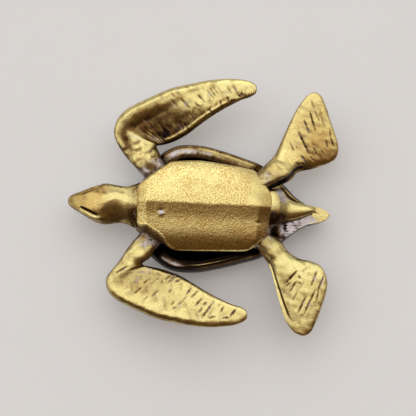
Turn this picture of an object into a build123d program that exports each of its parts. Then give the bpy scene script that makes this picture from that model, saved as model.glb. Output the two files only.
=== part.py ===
import os

from build123d import *

os.makedirs("parts", exist_ok=True)

# Driving dimensions, in mm. +X is the head end, +Y the left side, +Z up, and z = 0 is the flat it stands on.
half_length = 24.0
half_span = 22.5
shell_front = 11.6
shell_half_width = 11.55
rim_height = 6.0
rim_wall = 1.3
floor_thickness = 1.6
limb_height = 6.0
limb_headroom = 2.0
plate_underside = limb_height + limb_headroom
plate_edge = 0.9
plate_crown = 2.4
fit_clearance = 0.05

# Upper shell: a plate with cut corners and a low ridge along its middle.
plate_front = 10.9
plate_rear = 13.4
plate_half_width = 8.2
plate_front_half = 3.5
plate_rear_half = 2.6
plate_shoulder = 5.5
plate_hip = 10.3
plate_hip_half = 7.1
facet_half = 3.9
facet_drop = 0.7
end_bevel_angle = 34

# Body core: an eight-sided block with a seat for each limb.
core_front = 9.0
core_rear = 11.4
core_half_width = 6.2
core_front_half = 2.9
core_rear_half = 2.7
core_shoulder = 5.2
core_hip = 8.8
core_post_radius = 1.6
core_post_length = 1.0
core_post_front = 4.0
core_post_rear = 7.0
core_base = 3.6
core_foot_share = 0.6

# Limb roots and tenons.
arm_root_width = 4.5
arm_root_thickness = 3.4
leg_root_width = 4.0
leg_root_thickness = 3.3
tenon_radius = 1.1
arm_tenon_length = 3.0
leg_tenon_length = 2.4
neck_tenon_length = 2.4
tail_tenon_length = 1.8
root_collar = 0.6
saddle_gap = 0.12

# Small differences between the two sides, measured at the outer end of each flipper.
front_sweep_left = -1.2
front_sweep_right = 1.1
armpit_left = 1.3
armpit_right = 0.1
rear_sweep_left = 0.7
rear_sweep_right = -0.7

# Front flipper: thickest place of the blade, how far the blade rises and how far its leading edge leans up.
flipper_thickness = 3.6
blade_rise = 3.8
blade_lean = 2.2

# Rear flipper.
fan_thickness = 3.3
fan_rise = 1.0
fan_lean = 0.8

# Head and tail.
head_half_width = 3.75
head_half_height = 2.45
nose_drop = 0.9
head_turn = 0.35
slit_width = 0.35
slit_depth = 0.9
mouth_length = 3.1
eye_length = 1.6
tail_half_width = 1.6
tail_half_height = 1.35
tail_lift = 0.5
tail_height = limb_height + tail_lift
tail_reach = 21.1

# Lower shell half outline ahead of the middle, as shares of shell_front and shell_half_width.
rim_front_shares = ((0.94, 0.4), (0.775, 0.73), (0.435, 0.965), (0.04, 1.0))
# The same behind the middle, as shares of half_length and shell_half_width.
rim_rear_shares = (
    (-0.18, 0.92),
    (-0.35, 0.818),
    (-0.47, 0.72),
    (-0.65, 0.448),
    (-0.76, 0.244),
    (-0.875, 0.136),
    (-0.96, 0.088),
)
# Hull of the lower shell: height as a share of rim_height, and size of the outline there.
hull_shares = ((0.0, 0.55), (0.12, 0.74), (0.4, 0.93), (0.82, 1.0), (1.0, 0.97))
# Hollow of the lower shell: height as a share of its depth, and size as a share of the size at its mouth.
hollow_shares = ((0.0, 0.75), (0.4, 0.95), (1.0, 1.0))
hollow_mouth = 0.5

# Arm stations past the root: front edge x and y, rear edge x and y (shares of half_length and half_span),
# then shares of the armpit shift, rise, lean and thickness.
arm_shares = (
    (0.462, 0.262, 0.3, 0.368, 0.3, 0.0, 0.0, 1.0),
    (0.55, 0.375, 0.325, 0.435, 0.8, -0.08, 0.1, 0.92),
    (0.605, 0.48, 0.36, 0.52, 1.0, -0.08, 0.3, 0.78),
    (0.61, 0.56, 0.4, 0.605, 1.0, -0.04, 0.5, 0.5),
)

# Blade stations from the elbow to the tip: x, inner and outer edge y (shares of half_length and half_span),
# then shares of sweep, rise, lean and thickness.
blade_shares = (
    (0.68, 0.595, 0.65, 0.05, -0.05, 0.15, 0.2),
    (0.65, 0.528, 0.722, 0.06, -0.04, 0.45, 0.5),
    (0.592, 0.462, 0.776, 0.08, -0.02, 0.7, 0.64),
    (0.508, 0.452, 0.824, 0.12, 0.03, 0.9, 0.7),
    (0.4, 0.488, 0.876, 0.2, 0.12, 1.0, 0.68),
    (0.271, 0.52, 0.928, 0.36, 0.26, 1.0, 0.64),
    (0.125, 0.573, 0.962, 0.52, 0.42, 0.9, 0.6),
    (-0.02, 0.67, 0.983, 0.67, 0.58, 0.72, 0.55),
    (-0.146, 0.747, 0.987, 0.8, 0.74, 0.52, 0.48),
    (-0.27, 0.805, 0.972, 0.92, 0.88, 0.3, 0.4),
    (-0.357, 0.84, 0.933, 1.0, 0.97, 0.1, 0.28),
    (-0.392, 0.868, 0.906, 1.0, 1.0, 0.0, 0.1),
)

# Rear flipper stations past the root, in the same order.
rear_shares = (
    (-0.497, 0.372, -0.622, 0.236, 0.0, 0.05, 0.0, 0.98),
    (-0.57, 0.455, -0.69, 0.32, 0.1, 0.2, 0.2, 0.9),
    (-0.614, 0.57, -0.775, 0.376, 0.3, 0.4, 0.5, 0.78),
    (-0.656, 0.7, -0.875, 0.396, 0.5, 0.6, 0.8, 0.66),
    (-0.704, 0.835, -0.973, 0.44, 0.75, 0.8, 1.0, 0.56),
    (-0.765, 0.95, -1.02, 0.543, 0.95, 0.95, 1.0, 0.46),
    (-0.862, 0.968, -1.0, 0.678, 1.0, 1.0, 0.8, 0.16),
)

# Head stations: x as a share of half_length, half width and half height as shares of the head's, drop of the
# middle, and how far it leans to the left side.
head_shares = (
    (0.44, 0.93, 0.76, 0.0, 0.1),
    (0.5, 0.91, 0.8, 0.0, 0.3),
    (0.57, 0.88, 0.86, 0.0, 0.7),
    (0.64, 0.92, 0.94, 0.0, 1.0),
    (0.71, 0.98, 1.0, 0.05, 1.0),
    (0.77, 0.92, 0.98, 0.1, 1.0),
    (0.84, 0.75, 0.85, 0.3, 0.9),
    (0.905, 0.54, 0.66, 0.6, 0.6),
    (0.96, 0.35, 0.45, 0.85, 0.2),
    (0.99, 0.2, 0.25, 0.97, 0.0),
    (1.0, 0.07, 0.08, 1.0, 0.0),
)
# A fuller than round section: corner share of the half width and half height.
section_corner_share = 0.76
# Sections from the root on that belong to the neck.
neck_section_count = 6
# Middle of each slit: shares of half_length, of the head's half width and of its half height.
mouth_share = (0.845, 0.52, 0.42)
eye_share = (0.86, 0.76, 0.08)
# How far a slit turns outward for each step back, as a share.
mouth_turn_share = 0.42
eye_turn_share = 0.55

# Tail stations: x as a share of the way to the tip, width and height as shares.
tail_shares = ((0.22, 1.0, 1.0), (0.5, 0.95, 0.95), (0.74, 0.8, 0.8), (0.9, 0.52, 0.52), (1.0, 0.1, 0.1))


def station_plane(lead, trail):
    """Upright plane through the leading and the trailing edge of a limb."""
    chord = lead - trail
    return Plane(origin=(lead + trail) / 2, x_dir=chord, z_dir=chord.cross(Vector(0, 0, 1)))


def seat(front_point, rear_point, side):
    """Seat plane of a limb on the core, from the two plan corners of the core's face."""
    ahead = Vector(front_point[0], side * front_point[1], limb_height)
    behind = Vector(rear_point[0], side * rear_point[1], limb_height)
    return station_plane(ahead, behind)


def arm_seat(side):
    return seat((core_front, core_front_half), (core_shoulder, core_half_width), side)


def leg_seat(side):
    return seat((-core_hip, core_half_width), (-core_rear, core_rear_half), side)


def limb_point(x_share, y_share, side, level, out=0, along=0):
    """A point of a limb's edge from its plan shares."""
    return Vector(x_share * half_length + along, side * (y_share * half_span + out), level)


def arm_stations(side):
    """Front and rear edge points of each arm station, with its share of the thickness."""
    stations = []
    armpit = armpit_left if side > 0 else armpit_right
    for front_x, front_y, rear_x, rear_y, shift_part, rise_part, lean_part, thick in arm_shares:
        middle = limb_height + blade_rise * rise_part
        half_lean = blade_lean * lean_part / 2
        ahead = limb_point(front_x, front_y, side, middle + half_lean)
        behind = limb_point(rear_x, rear_y, side, middle - half_lean, 0, armpit * shift_part)
        stations.append((ahead, behind, thick))
    return stations


def blade_stations(side, sweep):
    """Outer and inner edge points of each blade station, with its share of the thickness."""
    stations = []
    for along, inner, outer, sweep_part, rise_part, lean_part, thick in blade_shares:
        middle = limb_height + blade_rise * rise_part
        half_lean = blade_lean * lean_part / 2
        out = sweep * sweep_part
        outside = limb_point(along, outer, side, middle + half_lean, out)
        inside = limb_point(along, inner, side, middle - half_lean, out)
        stations.append((outside, inside, thick))
    return stations


def fan_stations(side, sweep):
    """Front and rear edge points of each rear flipper station, with its share of the thickness."""
    stations = []
    for front_x, front_y, rear_x, rear_y, sweep_part, rise_part, lean_part, thick in rear_shares:
        middle = limb_height + fan_rise * rise_part
        half_lean = fan_lean * lean_part / 2
        along = sweep * sweep_part
        ahead = limb_point(front_x, front_y, side, middle + half_lean, 0, along)
        behind = limb_point(rear_x, rear_y, side, middle - half_lean, 0, along)
        stations.append((ahead, behind, thick))
    return stations


def full_section(half_width, half_height):
    """Closed outline of a head or tail section, a little fuller than an ellipse."""
    corner_y = half_width * section_corner_share
    corner_z = half_height * section_corner_share
    return (
        (half_width, 0),
        (corner_y, corner_z),
        (0, half_height),
        (-corner_y, corner_z),
        (-half_width, 0),
        (-corner_y, -corner_z),
        (0, -half_height),
        (corner_y, -corner_z),
    )


def limb_sections(root, side, half_width, half_height, stations, thickness, grow):
    """Plane and outline of each section of a limb, two at its root and one at each station."""
    sections = []
    for collar in (0, root_collar):
        sections.append((root.offset(-side * collar), full_section(half_width + grow, half_height + grow)))
    for ahead, behind, thick in stations:
        half_chord = (ahead - behind).length / 2
        outline = full_section(half_chord + grow, thickness * thick / 2 + grow)
        sections.append((station_plane(ahead, behind), outline))
    return sections


def arm_sections(side, grow):
    """Sections of a front flipper's arm."""
    half_width = arm_root_width / 2
    half_height = arm_root_thickness / 2
    stations = arm_stations(side)
    return limb_sections(arm_seat(side), side, half_width, half_height, stations, arm_root_thickness, grow)


def blade_sections(side, sweep):
    """Sections of a front flipper's blade, from the elbow to the tip."""
    sections = []
    for outside, inside, thick in blade_stations(side, sweep):
        outline = full_section((outside - inside).length / 2, flipper_thickness * thick / 2)
        sections.append((station_plane(outside, inside), outline))
    return sections


def leg_sections(side, sweep, grow):
    """Sections of a rear flipper, leg and fan."""
    half_width = leg_root_width / 2
    half_height = leg_root_thickness / 2
    stations = fan_stations(side, sweep)
    return limb_sections(leg_seat(side), side, half_width, half_height, stations, fan_thickness, grow)


def neck_sections(grow):
    """Sections of the neck and head."""
    sections = []
    for along in (core_front, core_front + root_collar):
        outline = full_section(core_front_half + grow, arm_root_thickness / 2 + grow)
        sections.append((Plane.YZ.offset(along), [(y, limb_height + z) for y, z in outline]))
    for along, wide, tall, drop, turn in head_shares:
        level = limb_height - nose_drop * drop
        off = head_turn * turn
        outline = full_section(wide * head_half_width + grow, tall * head_half_height + grow)
        sections.append((Plane.YZ.offset(along * half_length), [(y + off, level + z) for y, z in outline]))
    return sections


def tail_sections(grow):
    """Sections of the tail."""
    sections = []
    for back in (core_rear, core_rear + root_collar):
        outline = full_section(tail_half_width + grow, tail_half_height + grow)
        sections.append((Plane.YZ.offset(-back), [(y, limb_height + z) for y, z in outline]))
    for along, wide, tall in tail_shares:
        back = core_rear + (tail_reach - core_rear) * along
        outline = full_section(wide * tail_half_width + grow, tall * tail_half_height + grow)
        sections.append((Plane.YZ.offset(-back), [(y, tail_height + z) for y, z in outline]))
    return sections


def lofted(sections):
    """Smooth body through a row of sections."""
    with BuildPart() as body:
        for plane, outline in sections:
            with BuildSketch(plane):
                with BuildLine():
                    Spline(*outline, periodic=True)
                make_face()
        loft()
    return body.part


def rim_outline(size):
    """Whole outline of the lower shell at a given size, from the tail point round by the front."""
    left = [(x * shell_front * size, y * shell_half_width * size) for x, y in rim_front_shares]
    left += [(x * half_length * size, y * shell_half_width * size) for x, y in rim_rear_shares]
    right = [(x, -y) for x, y in left]
    return [(-half_length * size, 0)] + right[::-1] + [(shell_front * size, 0)] + left


# Upper shell
with BuildPart() as upper_shell:
    plate_outline = (
        (plate_front, plate_front_half),
        (plate_shoulder, plate_half_width),
        (-plate_hip, plate_hip_half),
        (-plate_rear, plate_rear_half),
        (-plate_rear, -plate_rear_half),
        (-plate_hip, -plate_hip_half),
        (plate_shoulder, -plate_half_width),
        (plate_front, -plate_front_half),
    )
    with BuildSketch(Plane.XY.offset(plate_underside)):
        with BuildLine():
            Polyline(*plate_outline, close=True)
        make_face()
    extrude(amount=plate_edge)
    with BuildSketch(Plane.XY.offset(plate_underside + plate_edge)):
        with BuildLine():
            Polyline(*plate_outline, close=True)
        make_face()
    extrude(amount=plate_crown, taper=end_bevel_angle)
    crown_top = plate_underside + plate_edge + plate_crown
    with BuildSketch(Plane.YZ.offset(-half_length)):
        with BuildLine():
            Polyline(
                (-plate_half_width, plate_underside),
                (plate_half_width, plate_underside),
                (plate_half_width, plate_underside + plate_edge),
                (facet_half, crown_top - facet_drop),
                (0, crown_top),
                (-facet_half, crown_top - facet_drop),
                (-plate_half_width, plate_underside + plate_edge),
                close=True,
            )
        make_face()
    extrude(amount=2 * half_length, mode=Mode.INTERSECT)
    with BuildSketch(Plane.XY.offset(plate_underside)):
        with Locations((core_post_front, 0), (-core_post_rear, 0)):
            Circle(core_post_radius + fit_clearance)
    extrude(amount=core_post_length + fit_clearance, mode=Mode.SUBTRACT)
upper_shell.part.label = "upper_shell"
export_step(upper_shell.part, "parts/upper_shell.step")

# Body core
with BuildPart() as body_core:
    core_outline = (
        (core_front, core_front_half),
        (core_shoulder, core_half_width),
        (-core_hip, core_half_width),
        (-core_rear, core_rear_half),
        (-core_rear, -core_rear_half),
        (-core_hip, -core_half_width),
        (core_shoulder, -core_half_width),
        (core_front, -core_front_half),
    )
    with BuildSketch(Plane.XY.offset(core_base)):
        with BuildLine():
            Polyline(*core_outline, close=True)
        make_face()
    extrude(amount=plate_underside - core_base)
    with BuildSketch(Plane.XY.offset(floor_thickness)):
        with BuildLine():
            Polyline(*[(x * core_foot_share, y * core_foot_share) for x, y in core_outline], close=True)
        make_face()
    extrude(amount=core_base - floor_thickness)
    with BuildSketch(Plane.XY.offset(floor_thickness - core_post_length)):
        with Locations((core_post_front, 0), (-core_post_rear, 0)):
            Circle(core_post_radius)
    extrude(amount=plate_underside - floor_thickness + 2 * core_post_length)
    for side in (1, -1):
        with BuildSketch(arm_seat(side)):
            Circle(tenon_radius + fit_clearance)
        extrude(amount=side * (arm_tenon_length + fit_clearance), mode=Mode.SUBTRACT)
        with BuildSketch(leg_seat(side)):
            Circle(tenon_radius + fit_clearance)
        extrude(amount=side * (leg_tenon_length + fit_clearance), mode=Mode.SUBTRACT)
    with BuildSketch(Plane.YZ.offset(core_front)):
        with Locations((0, limb_height)):
            Circle(tenon_radius + fit_clearance)
    extrude(amount=-neck_tenon_length - fit_clearance, mode=Mode.SUBTRACT)
    with BuildSketch(Plane.YZ.offset(-core_rear)):
        with Locations((0, limb_height)):
            Circle(tenon_radius + fit_clearance)
    extrude(amount=tail_tenon_length + fit_clearance, mode=Mode.SUBTRACT)
body_core.part.label = "body_core"
export_step(body_core.part, "parts/body_core.step")

# Lower shell, with a saddle in its rim under each limb
rooms = (
    lofted(neck_sections(saddle_gap)[:neck_section_count]),
    lofted(arm_sections(1, saddle_gap)),
    lofted(arm_sections(-1, saddle_gap)),
    lofted(leg_sections(1, rear_sweep_left, saddle_gap)),
    lofted(leg_sections(-1, rear_sweep_right, saddle_gap)),
    lofted(tail_sections(saddle_gap)),
)
with BuildPart() as lower_shell:
    for level, size in hull_shares:
        with BuildSketch(Plane.XY.offset(rim_height * level)):
            with BuildLine():
                Spline(*rim_outline(size), periodic=True)
            make_face()
    loft()
    hollow_depth = rim_height + hollow_mouth - floor_thickness
    hollow_size = (shell_half_width - rim_wall) / shell_half_width
    for level, part_size in hollow_shares:
        with BuildSketch(Plane.XY.offset(floor_thickness + hollow_depth * level)):
            with BuildLine():
                Spline(*rim_outline(hollow_size * part_size), periodic=True)
            make_face()
    loft(mode=Mode.SUBTRACT)
    with BuildSketch(Plane.XY.offset(floor_thickness)):
        with Locations((core_post_front, 0), (-core_post_rear, 0)):
            Circle(core_post_radius + fit_clearance)
    extrude(amount=-core_post_length - fit_clearance, mode=Mode.SUBTRACT)
    for room in rooms:
        add(room, mode=Mode.SUBTRACT)
lower_shell.part.label = "lower_shell"
export_step(lower_shell.part, "parts/lower_shell.step")


def front_flipper(side, sweep, name):
    """Arm, elbow and blade of one front flipper, from its seat on the core to its tip."""
    arm = lofted(arm_sections(side, 0))
    blade = lofted(blade_sections(side, sweep))
    with BuildPart() as flipper:
        add(arm)
        add(blade)
        with BuildSketch(arm_seat(side)):
            Circle(tenon_radius)
        extrude(amount=side * arm_tenon_length)
    flipper.part.label = name
    export_step(flipper.part, "parts/" + name + ".step")


def rear_flipper(side, sweep, name):
    """Leg and fan of one rear flipper, from its seat on the core to its outer edge."""
    leg = lofted(leg_sections(side, sweep, 0))
    with BuildPart() as flipper:
        add(leg)
        with BuildSketch(leg_seat(side)):
            Circle(tenon_radius)
        extrude(amount=side * leg_tenon_length)
    flipper.part.label = name
    export_step(flipper.part, "parts/" + name + ".step")


front_flipper(1, front_sweep_left, "front_flipper_left")
front_flipper(-1, front_sweep_right, "front_flipper_right")
rear_flipper(1, rear_sweep_left, "rear_flipper_left")
rear_flipper(-1, rear_sweep_right, "rear_flipper_right")


def cheek_plane(place, turn, side):
    """Plane of a slit on one cheek of the head, facing out and up."""
    across = side * place[1] * head_half_width
    middle = (place[0] * half_length, across, limb_height + place[2] * head_half_height)
    return Plane(origin=middle, x_dir=Vector(1, -side * turn, 0), z_dir=Vector(turn, side, 1))


# Head with its neck
neck = lofted(neck_sections(0))
with BuildPart() as head:
    add(neck)
    with BuildSketch(Plane.YZ.offset(core_front)):
        with Locations((0, limb_height)):
            Circle(tenon_radius)
    extrude(amount=-neck_tenon_length)
    for side in (1, -1):
        with BuildSketch(cheek_plane(mouth_share, mouth_turn_share, side)):
            SlotOverall(mouth_length, slit_width)
        extrude(amount=slit_depth, both=True, mode=Mode.SUBTRACT)
        with BuildSketch(cheek_plane(eye_share, eye_turn_share, side)):
            SlotOverall(eye_length, slit_width)
        extrude(amount=slit_depth, both=True, mode=Mode.SUBTRACT)
head.part.label = "head"
export_step(head.part, "parts/head.step")

# Tail
tail_cone = lofted(tail_sections(0))
with BuildPart() as tail:
    add(tail_cone)
    with BuildSketch(Plane.YZ.offset(-core_rear)):
        with Locations((0, limb_height)):
            Circle(tenon_radius)
    extrude(amount=tail_tenon_length)
tail.part.label = "tail"
export_step(tail.part, "parts/tail.step")
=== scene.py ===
"""Looks of a cast brass turtle figurine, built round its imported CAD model, as a Blender add-on."""

import math

import bpy
import numpy as np
from mathutils import Matrix, Vector


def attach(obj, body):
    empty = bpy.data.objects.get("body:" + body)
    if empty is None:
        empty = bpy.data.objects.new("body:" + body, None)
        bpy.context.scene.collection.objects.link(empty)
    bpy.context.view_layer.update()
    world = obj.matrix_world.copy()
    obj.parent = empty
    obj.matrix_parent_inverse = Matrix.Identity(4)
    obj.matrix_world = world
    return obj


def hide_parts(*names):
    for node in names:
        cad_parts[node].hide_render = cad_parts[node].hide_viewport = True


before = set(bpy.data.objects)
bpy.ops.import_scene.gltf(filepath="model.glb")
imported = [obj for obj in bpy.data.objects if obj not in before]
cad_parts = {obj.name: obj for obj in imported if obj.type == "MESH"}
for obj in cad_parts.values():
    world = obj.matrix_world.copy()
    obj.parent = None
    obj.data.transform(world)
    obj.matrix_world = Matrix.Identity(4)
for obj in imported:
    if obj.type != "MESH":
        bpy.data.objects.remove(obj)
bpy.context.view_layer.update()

bl_info = {
    "name": "Brass Turtle Figurine",
    "version": (1, 0, 0),
    "blender": (4, 5, 0),
    "location": "View3D > Sidebar > Turtle",
    "description": "Builds a small cast brass turtle with engraved flippers on a plain stage",
    "category": "Add Mesh",
}

MILLIMETRE = 0.001

# A front flipper from its root to its tip: x and y of the leading edge, then of the trailing edge, as shares
# of half_length and half_span, then shares of the sweep, the armpit's shift, the rise, the lean and the
# thickness.
FRONT_STATIONS = (
    (0.371, 0.142, 0.233, 0.267, 0.0, 0.0, 0.0, 0.0, 0.93),
    (0.462, 0.262, 0.300, 0.369, 0.0, 0.1, 0.0, 0.0, 0.94),
    (0.550, 0.373, 0.325, 0.436, 0.0, 0.5, -0.05, 0.1, 0.88),
    (0.612, 0.471, 0.346, 0.476, 0.02, 1.0, -0.08, 0.2, 0.80),
    (0.662, 0.560, 0.350, 0.489, 0.04, 1.0, -0.07, 0.3, 0.75),
    (0.678, 0.631, 0.342, 0.498, 0.05, 1.0, -0.05, 0.4, 0.72),
    (0.655, 0.711, 0.317, 0.502, 0.06, 0.9, -0.04, 0.55, 0.70),
    (0.596, 0.778, 0.283, 0.511, 0.08, 0.7, -0.01, 0.7, 0.70),
    (0.508, 0.827, 0.238, 0.524, 0.14, 0.5, 0.05, 0.85, 0.69),
    (0.400, 0.876, 0.179, 0.547, 0.24, 0.3, 0.14, 1.0, 0.67),
    (0.271, 0.929, 0.108, 0.582, 0.38, 0.1, 0.26, 1.0, 0.63),
    (0.125, 0.960, 0.025, 0.636, 0.52, 0.0, 0.41, 0.78, 0.58),
    (-0.021, 0.982, -0.079, 0.702, 0.67, 0.0, 0.57, 0.56, 0.53),
    (-0.146, 0.987, -0.183, 0.760, 0.80, 0.0, 0.73, 0.38, 0.47),
    (-0.271, 0.973, -0.288, 0.809, 0.92, 0.0, 0.87, 0.2, 0.40),
    (-0.330, 0.957, -0.338, 0.822, 0.97, 0.0, 0.94, 0.15, 0.36),
    (-0.368, 0.938, -0.372, 0.840, 1.0, 0.0, 0.98, 0.05, 0.29),
    (-0.388, 0.920, -0.390, 0.858, 1.0, 0.0, 1.0, 0.0, 0.20),
    (-0.395, 0.902, -0.395, 0.876, 1.0, 0.0, 1.0, 0.0, 0.08),
)

# A rear flipper from its root to its outer edge, in the same order without the armpit's shift.
REAR_STATIONS = (
    (-0.390, 0.245, -0.468, 0.140, 0.0, 2.0, 0.0, 0.98),
    (-0.497, 0.372, -0.622, 0.236, 0.0, 1.6, 0.0, 0.98),
    (-0.558, 0.455, -0.690, 0.320, 0.1, 0.8, 0.2, 0.90),
    (-0.598, 0.570, -0.775, 0.376, 0.3, 0.5, 0.5, 0.78),
    (-0.640, 0.700, -0.875, 0.396, 0.5, 0.6, 0.8, 0.66),
    (-0.690, 0.835, -0.955, 0.425, 0.75, 0.8, 1.0, 0.56),
    (-0.735, 0.918, -1.000, 0.480, 0.9, 0.9, 1.0, 0.49),
    (-0.785, 0.976, -1.020, 0.565, 0.8, 0.95, 1.0, 0.42),
    (-0.845, 0.993, -1.000, 0.670, 0.6, 1.0, 0.8, 0.32),
    (-0.892, 0.962, -0.966, 0.775, 0.5, 1.0, 0.5, 0.18),
    (-0.916, 0.910, -0.945, 0.845, 0.5, 1.0, 0.3, 0.07),
)

# Head and neck: x as a share of half_length, half width and half height as shares, drop and turn as shares,
# and where the ridge lies across the top, from -1 at the right side to 1 at the left.
HEAD_STATIONS = (
    (0.370, 0.90, 0.70, 0.0, 0.3, 0.0),
    (0.440, 1.12, 0.78, 0.0, 1.0, 0.0),
    (0.490, 1.06, 0.82, 0.0, 1.2, -0.05),
    (0.540, 0.93, 0.86, 0.0, 1.1, -0.10),
    (0.590, 0.89, 0.90, 0.0, 0.9, -0.18),
    (0.640, 0.93, 0.96, 0.0, 0.9, -0.22),
    (0.710, 0.99, 1.00, 0.05, 1.0, -0.05),
    (0.770, 0.93, 0.98, 0.1, 1.0, 0.15),
    (0.840, 0.75, 0.86, 0.3, 0.9, 0.35),
    (0.905, 0.54, 0.68, 0.6, 0.6, 0.5),
    (0.960, 0.38, 0.49, 0.85, 0.2, 0.4),
    (0.996, 0.23, 0.28, 0.97, 0.0, 0.2),
    (1.011, 0.08, 0.09, 1.0, 0.0, 0.0),
)

# Eye slit of the head's left cheek, mirrored to the right one: both ends in plan as shares of half_length
# and head_half_width, and the weight.
HEAD_SLITS = ((0.892, 0.38, 0.757, 0.78, 1.5),)

# Tail: x as a share of half_length, half width and half height as shares, then shares of the rise and of the
# lean.
TAIL_STATIONS = (
    (-0.450, 1.95, 1.00, 0.9, 1.0),
    (-0.550, 2.05, 1.05, 0.9, 1.0),
    (-0.600, 2.00, 1.05, 0.75, 1.3),
    (-0.640, 1.78, 1.02, 0.4, 1.2),
    (-0.675, 1.42, 0.98, 0.15, 0.3),
    (-0.720, 1.12, 0.92, 0.05, 0.1),
    (-0.780, 0.86, 0.80, 0.0, 0.3),
    (-0.830, 0.63, 0.64, 0.0, 0.7),
    (-0.868, 0.33, 0.36, 0.0, 0.9),
    (-0.883, 0.09, 0.10, 0.0, 0.9),
)
# Painted grey glint along the seam where the tail's root meets the right leg: both ends in millimetres
# and the weight.
TAIL_SEAM = ((-14.2, -3.9, -15.3, -1.2, 1.4),)

# Rim of the lower shell on one side from the front to the tail point: x and y as shares of half_length and
# shell_half.
RIM_STATIONS = (
    (0.483, 0.0),
    (0.454, 0.40),
    (0.375, 0.73),
    (0.210, 0.965),
    (0.019, 1.0),
    (-0.180, 0.92),
    (-0.350, 0.818),
    (-0.480, 0.73),
    (-0.580, 0.590),
    (-0.650, 0.465),
    (-0.700, 0.362),
    (-0.755, 0.266),
    (-0.830, 0.172),
    (-0.895, 0.132),
    (-0.945, 0.102),
    (-0.985, 0.060),
    (-1.011, 0.0),
)

# Half width of the rim on the left and on the right, as shares of shell_half.
RIM_LEFT, RIM_RIGHT = 1.035, 1.03
# Dips of the rim under the limbs and the neck: x, y and radius in millimetres.
RIM_DIPS = ((9.6, 7.2, 3.0), (9.6, -7.2, 3.0), (-13.6, 6.6, 2.7), (-13.6, -6.6, 2.7), (11.4, 0, 3.6))

# Wall of the lower shell from the middle of its base, out, over the rim and in again: size and height as
# shares.
WALL_STATIONS = (
    (0.02, 0.0),
    (0.30, 0.0),
    (0.55, 0.0),
    (0.76, 0.08),
    (0.94, 0.30),
    (1.00, 0.58),
    (0.985, 0.84),
    (0.955, 0.985),
    (0.92, 1.0),
    (0.87, 1.0),
    (0.81, 0.99),
    (0.75, 0.94),
    (0.70, 0.60),
    (0.56, 0.30),
    (0.02, 0.27),
)

# Engraved strokes: both ends in plan as shares of half_length and half_span, then the weight.
STROKES_FRONT_RIGHT = (
    (0.257, -0.912, 0.231, -0.876, 0.6),
    (0.221, -0.921, 0.191, -0.895, 0.5),
    (0.250, -0.853, 0.216, -0.809, 0.8),
    (0.228, -0.828, 0.195, -0.791, 0.7),
    (0.177, -0.863, 0.103, -0.787, 1.0),
    (0.150, -0.827, 0.124, -0.796, 0.8),
    (0.077, -0.841, 0.035, -0.801, 1.0),
    (0.051, -0.900, -0.005, -0.841, 0.9),
    (-0.016, -0.940, -0.073, -0.874, 0.8),
    (-0.040, -0.954, -0.084, -0.896, 0.8),
    (0.036, -0.981, 0.004, -0.936, 0.4),
    (-0.064, -0.963, -0.103, -0.910, 0.6),
    (-0.169, -0.973, -0.204, -0.918, 0.8),
    (-0.214, -0.981, -0.260, -0.906, 0.8),
    (-0.248, -0.914, -0.273, -0.892, 1.0),
    (-0.280, -0.919, -0.297, -0.901, 1.0),
    (-0.169, -0.892, -0.191, -0.839, 1.0),
    (-0.190, -0.847, -0.230, -0.865, 1.0),
    (-0.117, -0.855, -0.140, -0.807, 1.0),
    (-0.040, -0.780, -0.090, -0.744, 1.0),
    (-0.009, -0.753, -0.039, -0.700, 0.8),
    (0.077, -0.756, 0.050, -0.712, 0.6),
    (0.101, -0.747, 0.067, -0.703, 0.8),
    (0.163, -0.684, 0.082, -0.600, 1.0),
    (0.188, -0.675, 0.143, -0.613, 0.8),
    (0.252, -0.656, 0.157, -0.559, 1.0),
    (0.294, -0.664, 0.225, -0.612, 0.8),
    (0.319, -0.682, 0.260, -0.630, 0.7),
    (0.469, -0.705, 0.357, -0.610, 0.9),
    (0.149, -0.976, 0.128, -0.955, 0.6),
    (-0.099, -0.964, -0.132, -0.914, 0.5),
    (0.037, -0.775, 0.005, -0.729, 0.6),
    (0.136, -0.753, 0.103, -0.703, 0.5),
)
STROKES_FRONT_LEFT = (
    (0.599, 0.573, 0.518, 0.522, 1.0),
    (0.431, 0.568, 0.380, 0.548, 0.9),
    (0.450, 0.730, 0.389, 0.672, 1.0),
    (0.390, 0.651, 0.349, 0.610, 0.9),
    (0.367, 0.633, 0.338, 0.602, 0.8),
    (0.317, 0.748, 0.268, 0.691, 1.0),
    (0.375, 0.781, 0.345, 0.746, 0.7),
    (0.295, 0.790, 0.269, 0.758, 0.5),
    (0.312, 0.630, 0.266, 0.594, 0.7),
    (0.259, 0.636, 0.233, 0.592, 0.7),
    (0.229, 0.609, 0.187, 0.565, 0.9),
    (0.203, 0.634, 0.155, 0.563, 1.0),
    (0.184, 0.620, 0.139, 0.567, 0.9),
    (0.152, 0.618, 0.121, 0.600, 1.0),
    (0.195, 0.709, 0.173, 0.674, 0.8),
    (0.123, 0.650, 0.096, 0.629, 0.5),
    (0.060, 0.719, 0.023, 0.658, 1.0),
    (0.019, 0.738, -0.026, 0.681, 1.0),
    (0.115, 0.806, 0.073, 0.761, 0.8),
    (0.166, 0.808, 0.144, 0.777, 0.7),
    (0.149, 0.836, 0.129, 0.823, 0.7),
    (-0.012, 0.803, -0.060, 0.742, 1.0),
    (-0.038, 0.855, -0.067, 0.816, 0.9),
    (-0.067, 0.896, -0.147, 0.762, 1.0),
    (-0.074, 0.796, -0.093, 0.778, 0.9),
    (-0.106, 0.894, -0.135, 0.842, 0.5),
    (-0.201, 0.843, -0.219, 0.801, 1.0),
    (-0.180, 0.798, -0.195, 0.773, 0.6),
    (-0.272, 0.872, -0.309, 0.816, 1.3),
    (-0.215, 0.892, -0.269, 0.880, 1.0),
    (-0.114, 0.893, -0.160, 0.882, 0.8),
    (0.076, 0.757, 0.052, 0.729, 0.6),
)
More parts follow.
